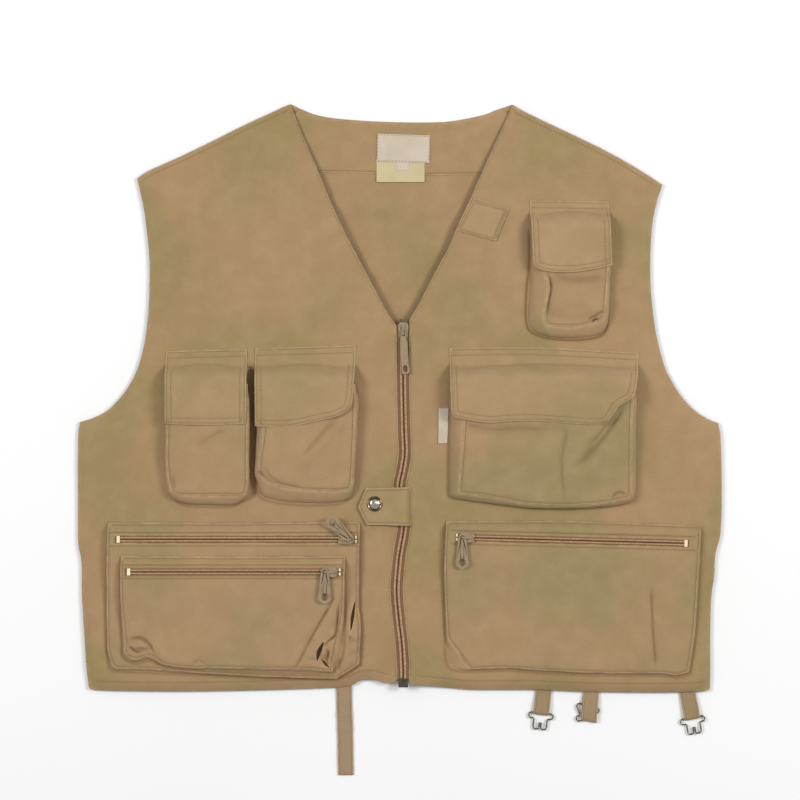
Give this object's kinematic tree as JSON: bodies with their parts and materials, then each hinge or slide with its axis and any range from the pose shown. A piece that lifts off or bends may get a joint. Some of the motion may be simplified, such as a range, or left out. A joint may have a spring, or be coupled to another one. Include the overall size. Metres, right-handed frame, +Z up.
{
  "type": "fishing vest",
  "caption": "Sleeveless V-neck fishing vest with zip front, flap and zip pockets, snap tab, chest tab and hem straps with wire hooks, lying flat on its back.",
  "frame": {"origin": "middle of the vest's outline on the surface that its back lies on", "axes": "+X to the wearer's left, +Y towards the collar, +Z up from the back panel to the pockets"},
  "size_m": [0.6144, 0.64, 0.0276],
  "materials": {
    "shell_cloth": "smooth poly-cotton twill, khaki tan",
    "pocket_cloth": "smooth poly-cotton twill, khaki tan",
    "flap_cloth": "doubled poly-cotton twill, topstitched",
    "webbing": "folded and stitched cloth strap",
    "label_cloth": "cream woven tape",
    "hook_and_loop": "napped touch fastener",
    "zip_tape": "woven tape with brown nylon coil",
    "zip_coil": "reddish brown nylon coil",
    "enamelled_zinc": "tan enamel over die-cast zinc, worn at the edges",
    "brass": "satin brass",
    "dark_nickel": "dark nickel plate",
    "bright_nickel": "polished nickel plate"
  },
  "bodies": {
    "vest": {"back_panel": "shell_cloth", "back_yoke_facing": "shell_cloth", "sewn_labels": "label_cloth", "right_front_panel": "shell_cloth", "left_front_panel": "shell_cloth", "side_and_shoulder_seams": "shell_cloth", "front_zip_tapes": "zip_tape", "front_zip_coils": "zip_coil", "front_zip_stops": "dark_nickel", "right_chest_outer_face": "pocket_cloth", "right_chest_outer_gusset": "pocket_cloth", "right_chest_inner_face": "pocket_cloth", "right_chest_inner_gusset": "pocket_cloth", "left_chest_face": "pocket_cloth", "left_chest_gusset": "pocket_cloth", "upper_chest_face": "pocket_cloth", "upper_chest_gusset": "pocket_cloth", "right_cargo_face": "pocket_cloth", "right_cargo_gusset": "pocket_cloth", "right_zip_pocket_face": "pocket_cloth", "right_zip_pocket_gusset": "pocket_cloth", "left_cargo_face": "pocket_cloth", "left_cargo_gusset": "pocket_cloth", "right_cargo_zip_chain": "zip_tape", "right_zip_pocket_zip_chain": "zip_tape", "left_cargo_zip_chain": "zip_tape", "pocket_zip_stops": "brass", "flap_seam_bands": "flap_cloth", "loop_patches": "hook_and_loop", "snap_stud": "bright_nickel", "sewn_strap_ends": "webbing"},
    "front_slider": {"front_slider": "enamelled_zinc"},
    "front_pull": {"front_pull": "enamelled_zinc"},
    "right_cargo_zip_slider": {"right_cargo_zip_slider": "enamelled_zinc"},
    "right_cargo_zip_pull": {"right_cargo_zip_pull": "enamelled_zinc"},
    "right_zip_pocket_zip_slider": {"right_zip_pocket_zip_slider": "enamelled_zinc"},
    "right_zip_pocket_zip_pull": {"right_zip_pocket_zip_pull": "enamelled_zinc"},
    "left_cargo_zip_slider": {"left_cargo_zip_slider": "enamelled_zinc"},
    "left_cargo_zip_pull": {"left_cargo_zip_pull": "enamelled_zinc"},
    "right_chest_outer_flap": {"right_chest_outer_flap": "flap_cloth", "right_chest_outer_hook_patch": "hook_and_loop"},
    "right_chest_inner_flap": {"right_chest_inner_flap": "flap_cloth", "right_chest_inner_hook_patch": "hook_and_loop"},
    "left_chest_flap": {"left_chest_flap": "flap_cloth", "left_chest_hook_patch": "hook_and_loop"},
    "upper_chest_flap": {"upper_chest_flap": "flap_cloth", "upper_chest_hook_patch": "hook_and_loop"},
    "snap_tab": {"snap_tab": "flap_cloth", "snap_cap": "bright_nickel", "snap_socket": "bright_nickel"},
    "rod_tab": {"rod_tab": "flap_cloth", "rod_tab_hook_patch": "hook_and_loop"},
    "tie_strap": {"tie_strap": "webbing"},
    "inner_hook_strap": {"inner_hook_strap": "webbing"},
    "inner_wire_hook": {"inner_wire_hook": "dark_nickel"},
    "middle_hook_strap": {"middle_hook_strap": "webbing"},
    "middle_wire_hook": {"middle_wire_hook": "dark_nickel"},
    "outer_hook_strap": {"outer_hook_strap": "webbing"},
    "outer_wire_hook": {"outer_wire_hook": "dark_nickel"}
  },
  "joints": [
    {"name": "front_zip_slide", "type": "slide", "parent": "vest", "child": "front_slider", "axis": [0, 1, 0], "range_m": [-0.323, 0]},
    {"name": "front_pull_flip", "type": "hinge", "parent": "front_slider", "child": "front_pull", "pos_m": [0.003, 0.1045, 0.0129], "axis": [-0.9984, -0.0558, 0], "range_deg": [0, 175]},
    {"name": "right_cargo_zip_slide", "type": "slide", "parent": "vest", "child": "right_cargo_zip_slider", "axis": [1, 0, 0], "range_m": [-0.206, 0]},
    {"name": "right_cargo_zip_pull_swivel", "type": "hinge", "parent": "right_cargo_zip_slider", "child": "right_cargo_zip_pull", "pos_m": [-0.0468, -0.094, 0.0199], "axis": [0, 0, 1], "range_deg": [-150, 4]},
    {"name": "right_zip_pocket_zip_slide", "type": "slide", "parent": "vest", "child": "right_zip_pocket_zip_slider", "axis": [1, 0, 0], "range_m": [-0.181, 0]},
    {"name": "right_zip_pocket_zip_pull_swivel", "type": "hinge", "parent": "right_zip_pocket_zip_slider", "child": "right_zip_pocket_zip_pull", "pos_m": [-0.0711, -0.1245, 0.0259], "axis": [0, 0, 1], "range_deg": [-120, 45]},
    {"name": "left_cargo_zip_slide", "type": "slide", "parent": "vest", "child": "left_cargo_zip_slider", "axis": [-0.9997, 0.0262, 0], "range_m": [-0.198, 0]},
    {"name": "left_cargo_zip_pull_swivel", "type": "hinge", "parent": "left_cargo_zip_slider", "child": "left_cargo_zip_pull", "pos_m": [0.05886, -0.09223, 0.0199], "axis": [0, 0, 1], "range_deg": [-120, 45]},
    {"name": "right_chest_outer_flap_fold", "type": "hinge", "parent": "vest", "child": "right_chest_outer_flap", "pos_m": [-0.184, 0.073, 0.0113], "axis": [-1, 0, 0], "range_deg": [0, 130]},
    {"name": "right_chest_inner_flap_fold", "type": "hinge", "parent": "vest", "child": "right_chest_inner_flap", "pos_m": [-0.0895, 0.073, 0.0113], "axis": [-1, 0, 0], "range_deg": [0, 130]},
    {"name": "left_chest_flap_fold", "type": "hinge", "parent": "vest", "child": "left_chest_flap", "pos_m": [0.13575, 0.073, 0.0113], "axis": [-1, 0, 0], "range_deg": [0, 105]},
    {"name": "upper_chest_flap_fold", "type": "hinge", "parent": "vest", "child": "upper_chest_flap", "pos_m": [0.1596, 0.218, 0.0113], "axis": [-1, 0, 0], "range_deg": [0, 130]},
    {"name": "snap_tab_fold", "type": "hinge", "parent": "vest", "child": "snap_tab", "pos_m": [0.00875, -0.06235, 0.0162], "axis": [0, 1, 0], "range_deg": [0, 150]},
    {"name": "rod_tab_fold", "type": "hinge", "parent": "vest", "child": "rod_tab", "pos_m": [0.054, 0.199, 0.01235], "axis": [-0.4586, -0.8886, 0], "range_deg": [0, 150]},
    {"name": "tie_strap_lift", "type": "hinge", "parent": "vest", "child": "tie_strap", "pos_m": [-0.0532, -0.24, 0.0013], "axis": [-1, 0, 0], "range_deg": [0, 85]},
    {"name": "inner_strap_lift", "type": "hinge", "parent": "vest", "child": "inner_hook_strap", "pos_m": [0.1368, -0.24, 0.0013], "axis": [-1, 0, 0], "range_deg": [0, 85]},
    {"name": "inner_hook_swing", "type": "hinge", "parent": "inner_hook_strap", "child": "inner_wire_hook", "pos_m": [0.1346, -0.2603, 0.0017], "axis": [-0.9942, 0.1077, 0], "range_deg": [0, 115]},
    {"name": "middle_strap_lift", "type": "hinge", "parent": "vest", "child": "middle_hook_strap", "pos_m": [0.1822, -0.24, 0.0013], "axis": [-1, 0, 0], "range_deg": [0, 80]},
    {"name": "middle_hook_swing", "type": "hinge", "parent": "middle_hook_strap", "child": "middle_wire_hook", "pos_m": [0.18, -0.264, 0.0017], "axis": [-0.9063, -0.4226, 0], "range_deg": [0, 165]},
    {"name": "outer_strap_lift", "type": "hinge", "parent": "vest", "child": "outer_hook_strap", "pos_m": [0.274, -0.24, 0.0013], "axis": [-1, 0, 0], "range_deg": [0, 85]},
    {"name": "outer_hook_swing", "type": "hinge", "parent": "outer_hook_strap", "child": "outer_wire_hook", "pos_m": [0.2784, -0.2646, 0.0017], "axis": [-0.9844, -0.1761, 0], "range_deg": [0, 115]}
  ]
}
